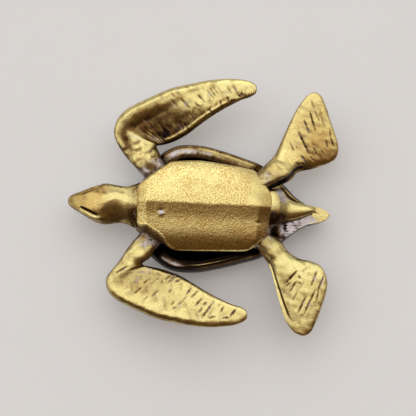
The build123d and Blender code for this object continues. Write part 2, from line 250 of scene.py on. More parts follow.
STROKES_REAR_RIGHT = (
    (-0.823, -0.920, -0.851, -0.842, 0.7),
    (-0.816, -0.817, -0.863, -0.669, 1.3),
    (-0.851, -0.835, -0.890, -0.750, 0.7),
    (-0.774, -0.743, -0.817, -0.643, 1.3),
    (-0.734, -0.647, -0.825, -0.472, 1.4),
    (-0.894, -0.837, -0.934, -0.697, 0.7),
    (-0.978, -0.684, -0.986, -0.621, 0.8),
    (-0.986, -0.614, -1.013, -0.553, 1.3),
    (-0.951, -0.589, -0.967, -0.534, 1.0),
    (-0.672, -0.557, -0.703, -0.489, 0.8),
    (-0.761, -0.453, -0.806, -0.393, 0.9),
    (-0.727, -0.397, -0.750, -0.351, 1.0),
    (-0.853, -0.528, -0.890, -0.460, 0.8),
    (-0.833, -0.449, -0.863, -0.419, 0.7),
    (-0.918, -0.508, -0.940, -0.463, 0.7),
    (-0.718, -0.531, -0.738, -0.499, 0.5),
    (-0.843, -0.572, -0.857, -0.539, 0.5),
)
STROKES_REAR_LEFT = (
    (-0.871, 0.600, -0.911, 0.483, 1.0),
    (-0.923, 0.635, -0.967, 0.518, 1.0),
    (-0.914, 0.720, -0.929, 0.627, 0.8),
    (-0.777, 0.819, -0.830, 0.694, 1.0),
    (-0.823, 0.824, -0.901, 0.636, 1.0),
    (-0.683, 0.583, -0.756, 0.491, 1.3),
    (-0.714, 0.654, -0.754, 0.575, 0.9),
    (-0.737, 0.718, -0.764, 0.659, 0.7),
    (-0.759, 0.572, -0.793, 0.586, 1.0),
    (-0.774, 0.529, -0.788, 0.544, 0.9),
    (-0.889, 0.759, -0.912, 0.766, 0.5),
    (-0.783, 0.628, -0.811, 0.579, 0.5),
    (-0.685, 0.617, -0.707, 0.584, 0.6),
    (-0.801, 0.492, -0.838, 0.450, 0.5),
)

# Shape of each front flipper: its side, 1 for the left, how far the sweep takes its tip outward, how far the
# brow of its arm and its armpit lie further forward, how much of the dish it has, which also sets how much
# tarnish and painted shade darken the dish and the arm, and its strokes.
FRONT_LEFT = {
    "side": 1,
    "sweep": -0.0007,
    "brow": -0.0007,
    "armpit": 0.0013,
    "hollow": 0.25,
    "strokes": STROKES_FRONT_LEFT,
}
FRONT_RIGHT = {
    "side": -1,
    "sweep": 0.0017,
    "brow": 0.0008,
    "armpit": 0.0001,
    "hollow": 1.0,
    "strokes": STROKES_FRONT_RIGHT,
}
# Shape of each rear flipper: its side, its sweep forward, where the crest of its shin lies across, how far
# its calf fills out the rear edge, how far its root droops, the lip that its top steps down to, and its
# strokes. The lip has its edge, 1 for the front and -1 for the rear, its place across, the spread of the
# step, the stations it runs between and how much painted shade darkens the lip.
REAR_LEFT = {
    "side": 1,
    "sweep": 0.0007,
    "crest": 0.4,
    "calf": 0.0,
    "droop": 0.0018,
    "lip": {"edge": 1, "place": 0.78, "spread": 0.1, "start": 1.5, "end": 5.75, "lip_shade": 0.0},
    "strokes": STROKES_REAR_LEFT,
}
REAR_RIGHT = {
    "side": -1,
    "sweep": -0.0007,
    "crest": -0.5,
    "calf": 0.0012,
    "droop": 0.0,
    "lip": {"edge": -1, "place": 0.60, "spread": 0.3, "start": 0.3, "end": 3.2, "lip_shade": 1.0},
    "strokes": STROKES_REAR_RIGHT,
}

# Roof of the upper shell from its right side over the ridge to its left: millimetres across and slope there.
PLATE_ROOF = (
    (-9.4, -0.60),
    (-7.2, -0.34),
    (-5.0, -0.19),
    (-2.0, -0.11),
    (-0.25, -0.09),
    (0.25, 0.30),
    (1.6, 0.28),
    (3.0, 0.15),
    (4.2, 0.14),
    (5.4, 0.24),
    (6.5, 0.40),
    (7.6, 0.50),
    (9.4, 0.55),
)
# Corners of the upper shell in millimetres from the left of its front, and the strip bevelled inside the edge
# that follows each corner: its width in millimetres and its slope.
PLATE_CORNERS = (
    (11.0, 4.2),
    (4.2, 8.5),
    (-9.3, 8.0),
    (-12.5, 5.2),
    (-13.2, 1.5),
    (-13.3, -2.4),
    (-9.9, -6.9),
    (0.3, -8.25),
    (5.6, -7.75),
    (11.2, -2.9),
)
PLATE_STRIPS = (
    (0.2, 0.10),
    (0.3, 0.10),
    (0.8, 0.30),
    (1.0, 0.50),
    (2.6, 0.50),
    (3.0, 0.40),
    (0.6, 0.30),
    (0.6, 0.30),
    (1.8, 0.30),
    (1.75, 0.45),
)
# Bent border at the left front of the upper shell, beyond which it falls away: x and y in millimetres.
PLATE_BORDER = (
    (2.5, 9.4),
    (4.07, 8.30),
    (5.08, 7.66),
    (5.61, 6.88),
    (6.65, 5.79),
    (8.16, 4.89),
    (9.09, 4.36),
    (10.31, 4.31),
    (11.13, 4.22),
)

# Core between the shells from its foot to its top: size as a share of its outline and height as a share of
# limb_height.
CORE_STATIONS = (
    (0.10, 0.45),
    (0.60, 0.45),
    (0.86, 0.55),
    (0.98, 0.80),
    (1.00, 1.00),
    (0.975, 1.18),
    (0.94, 1.30),
    (0.88, 1.37),
    (0.50, 1.39),
    (0.05, 1.39),
)
# Fillets of the core beside the head, limbs and tail: bearing from the head and half width, in degrees.
FILLETS = ((0, 20), (25, 12), (-25, 12), (38, 17), (-38, 17), (153, 14), (-153, 14), (180, 16))

# Surround of the stage from behind the figurine to the camera's side: place from 0 to 1 and colour.
SURROUND = (
    (0.0, (1.0, 1.0, 1.0)),
    (0.3, (0.80, 0.76, 0.72)),
    (0.5, (0.55, 0.47, 0.42)),
    (0.7, (0.30, 0.22, 0.17)),
    (0.85, (0.17, 0.11, 0.075)),
    (1.0, (0.10, 0.056, 0.028)),
)

# Look of the lit floor far away, which the horizon carries on.
FLOOR_LOOK = (0.67, 0.645, 0.62)
# Half the width of the floor, and the heart of the figurine, which the lamp and the camera look at.
FLOOR_HALF = 5.0
HEART = Vector((0, 0, 0.006))
# Place and diameter of the soft lamp.
LAMP_PLACE = Vector((0.05, -0.33, 0.25))
LAMP_SIZE = 0.25
# Focal length and sensor width in millimetres, and how far the camera is moved to the right and up.
LENS = 65.9
SENSOR = 36.0
CAMERA_RIGHT, CAMERA_UP = 0.001654, -0.000184


# Sizes, finish and stage


def length_property(name, description, default):
    """Length that a user can change, in metres."""
    return bpy.props.FloatProperty(name=name, description=description, default=default, unit="LENGTH")


def colour_property(name, description, default):
    """Colour that a user can change."""
    return bpy.props.FloatVectorProperty(
        name=name, description=description, default=default, size=3, subtype="COLOR"
    )


def angle_property(name, description, degrees):
    """Angle that a user can change; the default is given in degrees."""
    return bpy.props.FloatProperty(
        name=name, description=description, default=math.radians(degrees), subtype="ANGLE"
    )


class TurtleSizes(bpy.types.PropertyGroup):
    """Sizes of the figurine."""

    half_length: length_property("Half Length", "From the middle to the nose or the tail point", 0.024)
    half_span: length_property("Half Span", "From the middle to a front flipper's outer edge", 0.0225)
    shell_half: length_property("Shell Half Width", "Half the width of the lower shell", 0.01155)
    rim_height: length_property("Rim Height", "Height of the lower shell's rim", 0.006)
    limb_height: length_property("Limb Height", "Height of the limbs' middle at the body", 0.006)
    plate_underside: length_property("Plate Underside", "Height of the upper shell's underside", 0.008)
    plate_edge: length_property("Plate Edge", "Height of the upper shell's upright edge", 0.0009)
    plate_crown: length_property("Plate Crown", "Height of the ridge above the edge", 0.0024)
    blade_thickness: length_property("Blade Thickness", "Thickness of a front flipper at its arm", 0.0036)
    blade_rise: length_property("Blade Rise", "How far a front flipper rises to its tip", 0.0038)
    blade_lean: length_property("Blade Lean", "How far the leading edge stands higher", 0.0022)
    fan_thickness: length_property("Fan Thickness", "Thickness of a rear flipper at its leg", 0.0033)
    fan_rise: length_property("Fan Rise", "How far a rear flipper rises to its edge", 0.001)
    fan_lean: length_property("Fan Lean", "How far a rear flipper's front edge stands higher", 0.0013)
    head_half_width: length_property("Head Half Width", "Half the width of the head", 0.00375)
    head_half_height: length_property("Head Half Height", "Half the height of the head", 0.00245)
    nose_drop: length_property("Nose Drop", "How far the nose hangs below the neck", 0.0009)
    head_turn: length_property("Head Turn", "How far the head leans to its left", 0.00035)
    tail_half_width: length_property("Tail Half Width", "Half the width of the tail", 0.0016)
    tail_height: length_property("Tail Height", "Height of the tail's middle", 0.0065)
    tail_rise: length_property("Tail Rise", "How far the tail rises to the upper shell", 0.0018)
    tail_lean: length_property("Tail Lean", "How far the tail's end leans to its right", 0.0004)
    stroke_width: length_property("Stroke Width", "Half width of an engraved stroke", 0.00019)
    stroke_depth: length_property("Stroke Depth", "Depth of an engraved stroke", 0.00011)
    slit_width: length_property("Slit Width", "Half width of the mouth and eye slits", 0.00022)
    slit_depth: length_property("Slit Depth", "Depth of the mouth and eye slits", 0.0008)


class TurtleFinish(bpy.types.PropertyGroup):
    """Colours and grain of the aged brass."""

    polished: colour_property("Polished", "Rubbed bright brass", (0.98, 0.86, 0.37))
    olive: colour_property("Olive", "Brass with a thin film of tarnish", (0.70, 0.47, 0.15))
    # Brown is tarnish in hollows and also painted shade on steep sides, at roots and in gaps.
    brown: colour_property("Brown", "Tarnish that stays in hollows", (0.21, 0.11, 0.035))
    # Black is the dark fill of the strokes and painted shade in the deepest gaps and on walls that face away.
    black: colour_property("Black", "Dark wax in the deepest places", (0.014, 0.009, 0.007))
    # Silver is a painted reflection: grey glints of the bright surround on dark glossy hollows.
    silver: colour_property("Silver", "Grey sheen on unrubbed casting skin", (0.64, 0.58, 0.58))
    grain: length_property("Grain", "Size of the finest grain in the surface", 0.00025)


class TurtleStage(bpy.types.PropertyGroup):
    """Floor, light and camera."""

    floor: colour_property("Floor", "Colour of the floor", (0.92, 0.915, 0.91))
    lamp: bpy.props.FloatProperty(
        name="Lamp", description="Power of the soft lamp", default=0.05, unit="POWER"
    )
    distance: length_property("Camera Distance", "From the camera to the figurine", 0.14)
    elevation: angle_property("Camera Elevation", "Camera above the horizon", 82)
    roll: angle_property("Camera Roll", "Turn of the camera about its view", 2.9)


# Tools for the surfaces


def through(stations, count):
    """Smooth rows through a table: between two rows runs a cubic that takes, at each row, the slope between
    its neighbours."""
    table = np.asarray(stations, float)
    slope = np.gradient(table, axis=0)
    place = np.linspace(0, len(table) - 1, count)
    low = np.minimum(place.astype(int), len(table) - 2)
    part = (place - low)[:, None]
    square, cube = part**2, part**3
    return (
        table[low] * (2 * cube - 3 * square + 1)
        + slope[low] * (cube - 2 * square + part)
        + table[low + 1] * (3 * square - 2 * cube)
        + slope[low + 1] * (cube - square)
    )


def along_stations(stations, count):
    """Smooth rows through a table, and at each row the number of its station, which runs from 0."""
    return through(stations, count), np.linspace(0, len(stations) - 1, count)[:, None]


def ease(low, high, value):
    """0 below low, 1 above high and a soft S between them."""
    part = np.clip((value - low) / (high - low), 0, 1)
    return part * part * (3 - 2 * part)


def band(start, full, fade, end, value):
    """0 before start, 1 from full to fade and 0 after end, with a soft S on both sides."""
    return ease(start, full, value) * (1 - ease(fade, end, value))


def hump(value, middle, width):
    """Bell curve of height 1 round a middle."""
    return np.exp(-(((value - middle) / width) ** 2))


def power(value, exponent):
    """Power that keeps the sign."""
    return np.sign(value) * np.abs(value) ** exponent


def ring(top, bottom, fullness):
    """Cosine and sine round a full section, with top places on its upper and bottom places on its lower half.
    A fullness of 1 is an ellipse and a smaller one is boxier."""
    upper = np.linspace(0, np.pi, top, endpoint=False)
    lower = np.linspace(np.pi, 2 * np.pi, bottom, endpoint=False)
    turn = np.concatenate([upper, lower])[None, :]
    return power(np.cos(turn), fullness), power(np.sin(turn), fullness)


def ripple(points, size, seed):
    """Soft unevenness from -1 to 1: a sum of sine waves in seeded directions, of about the given length."""
    count = 9
    source = np.random.default_rng(seed)
    waves = source.normal(size=(count, 3)) * 2 * np.pi / size
    start = source.uniform(0, 2 * np.pi, count)
    return np.sin(points @ waves.T + start).sum(-1) / count * 2


def stains(grid, seed):
    """Soft stains from 0 to 1 that cover about a third of a surface."""
    return ease(0.1, 0.9, ripple(grid, 0.0026, seed))


def steepness(grid, upright, level):
    """From 1 where the normal's upward part is below upright to 0 where it is above level; the marks use it
    as painted shade on steep sides. The normal comes from the steps along and across the grid."""
    along = np.gradient(grid, axis=0)
    round_it = np.roll(grid, -1, axis=1) - np.roll(grid, 1, axis=1)
    normal = np.cross(round_it, along)
    normal /= np.maximum(np.linalg.norm(normal, axis=-1, keepdims=True), 1e-12)
    outward = grid - grid.mean(1, keepdims=True)
    upward = normal[..., 2] * np.sign((normal * outward).sum())
    return 1 - ease(upright, level, upward)


def line_marks(grid, lines, scale, width):
    """Marks round straight lines on a surface seen in plan: a bell across each line, weaker at its ends. A
    line is given by both ends, in units of the scale, and its weight."""
    table = np.asarray(lines, float)
    start, end, weight = table[:, 0:2] * scale, table[:, 2:4] * scale, table[:, 4]
    step = end - start
    away = grid[..., None, :2] - start
    along = np.clip((away * step).sum(-1) / (step**2).sum(-1), 0, 1)
    gap = np.linalg.norm(away - along[..., None] * step, axis=-1)
    bell = hump(gap, 0, width) * (1 - 0.6 * (2 * along - 1) ** 4)
    return (bell * weight).max(-1)


def stroke_marks(grid, strokes, top, sizes):
    """Engraved strokes on the top of a flipper, uneven in weight."""
    scale = np.array([sizes.half_length, sizes.half_span])
    marks = line_marks(grid, strokes, scale, sizes.stroke_width)
    return marks * (0.85 + 0.3 * ripple(grid, 0.0012, seed=21)) * ease(0.05, 0.3, top)


def flipper_sections(lead, trail, fullness):
    """Sections between the edges of a flipper: their points, the place across, from -1 at the trailing edge
    to 1 at the leading one, and the place up, from -1 to 1."""
    across, up = ring(top=132, bottom=44, fullness=fullness)
    return (lead + trail) / 2 + (lead - trail) / 2 * across[..., None], across, up


def closed_mesh(name, grid, marks):
    """Closed mesh from a grid of points: each row is a ring closed on itself, and a point closes each end.
    The marks become attributes of the points, which the finish reads: grooves, tarnish together with
    painted shade, painted grey glints, a film of tarnish and where the specks are smoothed out."""
    rows, columns = grid.shape[:2]
    points = np.concatenate([grid[:1].mean(1), grid.reshape(-1, 3), grid[-1:].mean(1)])
    cell = np.arange(rows * columns).reshape(rows, columns) + 1
    beside = np.roll(cell, -1, axis=1)
    quads = np.stack([cell[:-1], beside[:-1], beside[1:], cell[1:]], -1).reshape(-1, 4)
    last = rows * columns + 1
    first_fan = np.stack([np.zeros(columns, int), beside[0], cell[0]], -1)
    last_fan = np.stack([np.full(columns, last), cell[-1], beside[-1]], -1)
    fans = np.concatenate([first_fan, last_fan])
    halves = np.concatenate([quads[:, [0, 1, 2]], quads[:, [0, 2, 3]], fans])
    corner = points[halves]
    volume = np.einsum("ij,ij->i", corner[:, 0], np.cross(corner[:, 1], corner[:, 2])).sum()
    if volume < 0:
        quads, fans = quads[:, ::-1], fans[:, ::-1]
    corners = np.concatenate([quads.ravel(), fans.ravel()])
    starts = np.concatenate([np.arange(len(quads)) * 4, quads.size + np.arange(len(fans)) * 3])
    mesh = bpy.data.meshes.new(name)
    mesh.vertices.add(len(points))
    mesh.vertices.foreach_set("co", points.astype(np.float32).ravel())
    mesh.loops.add(len(corners))
    mesh.loops.foreach_set("vertex_index", corners.astype(np.int32))
    mesh.polygons.add(len(starts))
    mesh.polygons.foreach_set("loop_start", starts.astype(np.int32))
    mesh.update(calc_edges=True)
    mesh.polygons.foreach_set("use_smooth", np.ones(len(starts), bool))
    for mark, value in marks.items():
        value = np.broadcast_to(value, (rows, columns))
        value = np.concatenate([value[0].mean(keepdims=True), value.ravel(), value[-1].mean(keepdims=True)])
        mesh.attributes.new(mark, "FLOAT", "POINT").data.foreach_set("value", value.astype(np.float32))
    mesh.validate()
    return mesh


def place_piece(context, name, node, grid, marks, material):
    """Puts a surface into the scene in place of its CAD node."""
    piece = bpy.data.objects.new(name, closed_mesh(name, grid, marks))
    context.scene.collection.objects.link(piece)
    piece.data.materials.append(material)
    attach(piece, "root")
    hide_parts(node)


# Surfaces of the pieces


def front_flipper_surface(sizes, side, sweep, brow, armpit, hollow, strokes):
    """Front flipper: along the stations a section lies between the trailing and the leading edge, round at
    the arm and boxier in the blade. The top is level by the leading edge and slopes down behind. It has a
    dish by the elbow, a bead along the leading edge, a lip along the trailing one and engraved strokes, and
    the underside is plain."""
    rows, station = along_stations(FRONT_STATIONS, count=560)
    lead_x, lead_y, trail_x, trail_y, swept, pulled, rise, tilt, thickness = rows.T
    lead_x = lead_x * sizes.half_length + brow * hump(station[:, 0], 3, 1.6)
    lead_y = lead_y * sizes.half_span + sweep * swept
    trail_x = trail_x * sizes.half_length + armpit * pulled
    trail_y = trail_y * sizes.half_span + sweep * swept
    middle = sizes.limb_height + sizes.blade_rise * rise
    lead = np.stack([lead_x, side * lead_y, middle], -1)[:, None]
    trail = np.stack([trail_x, side * trail_y, middle], -1)[:, None]
    grid, across, up = flipper_sections(lead, trail, 0.70 - 0.06 * ease(3.5, 7, station))
    top = np.clip(up, 0, 1)
    arm = 1 - ease(2.5, 5, station)
    blade = ease(4.5, 7, station)

    shoulder = 0.6 - 0.7 * ease(8.5, 11.5, station)
    fall = (1 - ease(-1.25, shoulder, across)) * (1 - 0.6 * ease(9.5, 12.5, station))
    lean = tilt[:, None] * (0.4 + 0.6 * hollow) - 0.45 * (1 - hollow) * arm
    slope = sizes.blade_lean * lean * (0.32 - 0.82 * fall)
    height = sizes.blade_thickness * thickness[:, None] / 2 * up

    chord = np.linalg.norm(lead - trail, axis=-1)
    from_lead = (1 - across) * chord / 2
    from_trail = (1 + across) * chord / 2
    bead = hump(from_lead, 0.0010, 0.0006) * blade * (1 - 0.7 * ease(10, 14, station))
    lip = hump(from_trail, 0.0006, 0.00035) * band(7, 8, 12, 14, station) * hollow
    dish = band(-1.2, -0.3, 0.15, 0.65, across) * band(4.6, 6.2, 8, 12, station) * hollow
    valley = hump(across, 0.5, 0.26) * band(1.8, 3.2, 5.2, 6.5, station) * hollow
    fold = (1 - ease(-0.7, -0.1, across)) * hump(station, 5.2, 0.4)
    groove = stroke_marks(grid, strokes, top, sizes)
    wave = np.sin(station * 12 + 1.5 * ripple(grid, 0.004, seed=3))
    ribs = wave * blade * (1 - ease(-0.6, 0.3, across)) * hollow
    uneven = ripple(grid, 0.003, seed=5) * (0.00006 + 0.00014 * arm * hollow)
    raised = 0.0002 * bead + 0.00022 * lip + 0.00004 * ribs + uneven
    sunk = 0.0008 * dish + 0.0003 * valley + 0.00025 * fold + sizes.stroke_depth * groove
    grid[..., 2] += height + slope + np.sqrt(top) * (raised - sunk)

    # The dish's brown is tarnish with painted shade; it is strongest on the right flipper, whose dish lies in
    # shade.
    tarnish = band(-1.4, -0.7, 0.2, 0.55, across) * ease(4.8, 5.8, station) * (0.2 + 0.8 * hollow)
    tarnish = tarnish * (1 - ease(7.5, 11.5, station + 1.5 * across))
    # Deep paints shade, dark to black, in the middle of the dish.
    deep = hump(across, -0.7, 0.3) * hump(station, 7.9, 0.9) * hollow
    # Root paints shade where the arm meets the body, and inner paints shade along the arm's trailing side.
    root = 1 - ease(0.7, 1.8, station)
    inner = 0.7 * (1 - ease(-1.0, -0.5, across)) * arm * hollow
    lumps = 0.9 * ease(0.1, 0.8, ripple(grid, 0.0045, seed=13)) * arm * hollow
    stain = stains(grid, seed=41)
    # Steepness paints shade on steep sides, fold and valley add tarnish with painted shade, and stains are
    # real.
    patina_and_shade = tarnish + root + inner + lumps + 1.2 * (fold + valley) + steepness(grid, 0.4, 0.9) + 0.3 * stain
    patina_and_shade = (np.clip(patina_and_shade, 0, 1.2) + 0.6 * deep) * (1 - 0.9 * lip)
    # These grey marks are painted glints: at the root, in the armpit, on the arm's apex and in the strokes.
    armpit_glint = 0.6 * (1 - ease(-0.7, -0.1, across)) * hump(station, 6.5, 0.8)
    apex_glint = 0.8 * hump(across, 0.0, 0.35) * hump(station, 4.4, 0.5) * hollow
    skin = np.maximum(0.8 * root, armpit_glint + apex_glint) + 0.25 * stain + 0.5 * groove
    film = 0.03 + 0.4 * hump(across, 0.0, 0.6) * hump(station, 8.0, 2.0) * (1 - hollow)
    return grid, {"groove": groove, "patina_and_shade": patina_and_shade, "skin": skin, "film": film}


def rear_flipper_surface(sizes, side, sweep, crest, calf, droop, lip, strokes):
    """Rear flipper: along the stations a section lies between its rear and its front edge, round at the leg
    and boxier in the fan, and strokes are engraved in the fan. A calf fills out the rear edge, a droop lowers
    the root, and the top steps down to a lip along one edge."""
    rows, station = along_stations(REAR_STATIONS, count=460)
    lead_x, lead_y, trail_x, trail_y, swept, rise, tilt, thickness = rows.T
    number = station[:, 0]
    shift = sweep * swept
    middle = sizes.limb_height + sizes.fan_rise * rise - droop * (1 - ease(-0.5, 3.5, number))
    lean = sizes.fan_lean * tilt / 2
    fill_x = calf * (hump(number, 1.3, 1.3) + 0.4 * hump(number, 5.5, 1.6))
    fill_y = calf * 0.6 * hump(number, 3.2, 1.0)
    lead_x = lead_x * sizes.half_length + shift
    lead_y = lead_y * sizes.half_span
    trail_x = trail_x * sizes.half_length + shift - fill_x
    trail_y = trail_y * sizes.half_span - fill_y
    lead = np.stack([lead_x, side * lead_y, middle + lean], -1)[:, None]
    trail = np.stack([trail_x, side * trail_y, middle - lean], -1)[:, None]
    grid, across, up = flipper_sections(lead, trail, 1 - 0.3 * ease(2.5, 5, station))
    top = np.clip(up, 0, 1)

    edge, place, start, end, lip_shade = (lip[part] for part in ("edge", "place", "start", "end", "lip_shade"))
    step = ease(place, place + lip["spread"], across * edge)
    step = step * band(start - 0.5, start + 0.5, end - 0.7, end + 0.7, station)
    lip_height = 0.00015
    height = sizes.fan_thickness * thickness[:, None] / 2 * up
    height = height - step * np.clip(height - lip_height, 0, None)
    groove = stroke_marks(grid, strokes, top, sizes)
    shin = hump(across, crest, 0.5) * (1 - ease(2.5, 4.5, station))
    relief = 0.00035 * shin + 0.00004 * ripple(grid, 0.003, seed=8) - sizes.stroke_depth * groove
    grid[..., 2] += height + np.sqrt(top) * relief

    # Root paints shade where the leg meets the body, with grey painted glints beside it.
    root = 0.6 * (1 - ease(0.6, 1.4, station))
    stain = stains(grid, seed=43) * ease(2, 4, station)
    # Wall paints shade on the step down to the lip, and shank paints olive shade on the left fan behind the
    # leg.
    wall = 4 * step * (1 - step)
    shank = hump(across * edge, 0.45, 0.3) * hump(station, 3.8, 0.9) * (1 - lip_shade)
    # Steepness paints shade on steep sides; stains are real.
    patina_and_shade = np.clip(root + steepness(grid, 0.4, 0.9) + 0.35 * stain + 0.4 * shank, 0, 1)
    patina_and_shade = patina_and_shade + 0.4 * wall + lip_shade * step
    skin = 0.75 * root + 0.2 * stain + 0.5 * groove
    right = (1 - side) / 2
    film = 0.26 * right + 0.4 * right * hump(across, -0.4, 0.5) * hump(station, 5.0, 1.8)
    return grid, {"groove": groove, "patina_and_shade": patina_and_shade, "skin": skin, "film": film}


def head_surface(sizes):
    """Head and neck: along the stations a section whose top has a ridge. To the right of it a full brow falls
    gently, to its left the cheek falls straight, and slits are cut into the cheeks."""
    station, wide, tall, drop, turn, ridge = np.split(through(HEAD_STATIONS, count=300), 6, axis=1)
    across, up = ring(top=160, bottom=60, fullness=0.79)
    brow = np.clip((ridge - across) / (1 + ridge), 0, 1)
    cheek = np.clip((across - ridge) / (1 - ridge), 0, 1)
    full = 1.4 + 0.9 * ease(0.66, 0.80, station)
    dome = (1 - brow**4) ** (1 / 4) * (1 - cheek**full) ** (1 / full)
    jaw = 0.3 * hump(cheek, 0.92, 0.22) * (1 - cheek**8) * hump(station, 0.78, 0.09)
    rise = 1.5 - 0.5 * ease(0.43, 0.62, station)
    upward = np.where(up > 0, (dome + jaw - 0.2 * brow * (1 - brow)) * rise, up)
    axis = np.concatenate(
        [station * sizes.half_length, turn * sizes.head_turn, sizes.limb_height - drop * sizes.nose_drop], 1
    )[:, None]
    sideways = across * (wide * sizes.head_half_width)
    height = upward * (tall * sizes.head_half_height)
    grid = axis + np.stack([np.zeros_like(sideways), sideways, height], -1)

    left_eyes = np.asarray(HEAD_SLITS, float)
    eyes = np.concatenate([left_eyes, left_eyes * [1, -1, 1, -1, 1]])
    scale = np.array([sizes.half_length, sizes.head_half_width])
    eye = line_marks(grid, eyes, scale, sizes.slit_width) * ease(0.0, 0.2, up)
    mouth = hump(up, 0.0, 0.12) * band(0.80, 0.84, 0.95, 0.98, station)
    groove = np.maximum(eye, mouth)
    outward = grid - axis
    outward /= np.maximum(np.linalg.norm(outward, axis=-1, keepdims=True), 1e-9)
    grid = grid - outward * groove[..., None] * sizes.slit_depth

    # Root paints shade where the neck meets the body; crust is rough casting at the same place.
    root = (1 - ease(0.48, 0.56, station)) * (1 - 0.6 * hump(across, -0.2, 0.4))
    front = 0.3 * ease(0.72, 0.84, station)
    # Temple paints shade on the right of the brow beyond the ridge, so the top's facet stands out.
    temple = 0.6 * ease(0.35 + front, 0.5 + front, brow) * ease(0.5, 0.6, station)
    streaked = station + 0.04 * ripple(grid, 0.0022, seed=57)
    # Throat paints streaked shade on the left cheek and throat.
    throat = 0.6 * ease(0.1, 0.4, cheek) * (1 - ease(0.64, 0.74, streaked))
    speckle = 0.6 * ease(0.0, 0.3, cheek) * hump(station, 0.76, 0.07)
    speckle = speckle * ease(0.0, 0.5, ripple(grid, 0.0012, seed=53))
    crust = 0.7 * root * ease(0.1, 0.6, ripple(grid, 0.0011, seed=51))
    # Steepness paints shade on steep sides.
    steep = steepness(grid, 0.3, 0.85)
    stain = stains(grid, seed=47)
    patina_and_shade = np.clip(0.9 * root + temple + throat + speckle + steep + 0.3 * stain, 0, 1) + crust
    film = 0.7 * ease(0.66, 0.78, station) * ease(0.0, 0.3, up) * (1 - ease(0.2, 0.6, cheek))
    return grid, {"groove": groove, "patina_and_shade": patina_and_shade, "skin": 0.35 * root, "film": film}


def tail_surface(sizes):
    """Tail: full sections that come down from the upper shell and narrow to a blunt point."""
    station, wide, tall, rise, lean = np.split(through(TAIL_STATIONS, count=120), 5, axis=1)
    across, up = ring(top=80, bottom=40, fullness=1.0)
    flattening = 0.85
    x = station * sizes.half_length
    y = wide * sizes.tail_half_width * across - lean * sizes.tail_lean
    z = sizes.tail_height + rise * sizes.tail_rise + tall * sizes.tail_half_width * flattening * up
    grid = np.stack(np.broadcast_arrays(x, y, z), -1)
    # Left, root and stain paint shade on the tail's left side and at its root; stain here is painted shade.
    left = ease(-0.2, 0.4, across)
    root = ease(-0.60, -0.56, station) * left
    stain = ease(0.1, 0.6, across) * ease(-0.72, -0.62, station)
    steep = steepness(grid, 0.4, 0.95) * (0.4 + 0.6 * left)
    patina_and_shade = np.clip(steep + 0.7 * root + 1.3 * stain, 0, 1.4)
    # The seam is a painted grey glint with brown beside it.
    seam = line_marks(grid, TAIL_SEAM, MILLIMETRE, width=0.0009)
    return grid, {"groove": 0.0, "patina_and_shade": np.maximum(patina_and_shade, 0.5 * seam), "skin": 0.4 * root + seam}


def plate_outline(count):
    """Many-sided outline of the upper shell with its corners rounded: directions round the middle, the reach
    of the outline along each, and the edges as outward normals with their distances."""
    corner = np.array(PLATE_CORNERS) * MILLIMETRE
    edge = np.roll(corner, -1, axis=0) - corner
    normal = np.stack([-edge[:, 1], edge[:, 0]], -1)
    normal /= np.linalg.norm(normal, axis=1, keepdims=True)
    normal *= np.sign((normal * corner).sum(1, keepdims=True))
    distance = (normal * corner).sum(1)
    turn = np.linspace(0, 2 * np.pi, count, endpoint=False)
    ray = np.stack([np.cos(turn), np.sin(turn)], -1)
    toward = np.clip(ray @ normal.T, 0, None) / distance
    crispness = 26
    reach = (toward**crispness).sum(1) ** (-1 / crispness)
    return ray, reach, normal, distance


def plate_roof(across):
    """Drop of the upper shell's roof below its ridge: the sum, out from the ridge, of its table's slopes."""
    place, slope = np.asarray(PLATE_ROOF, float).T
    fine = np.linspace(place[0], place[-1], num=2001)
    drop = np.cumsum(np.interp(fine, place, slope)) * (fine[1] - fine[0])
    return np.interp(across / MILLIMETRE, fine, drop - np.interp(0, fine, drop)) * MILLIMETRE


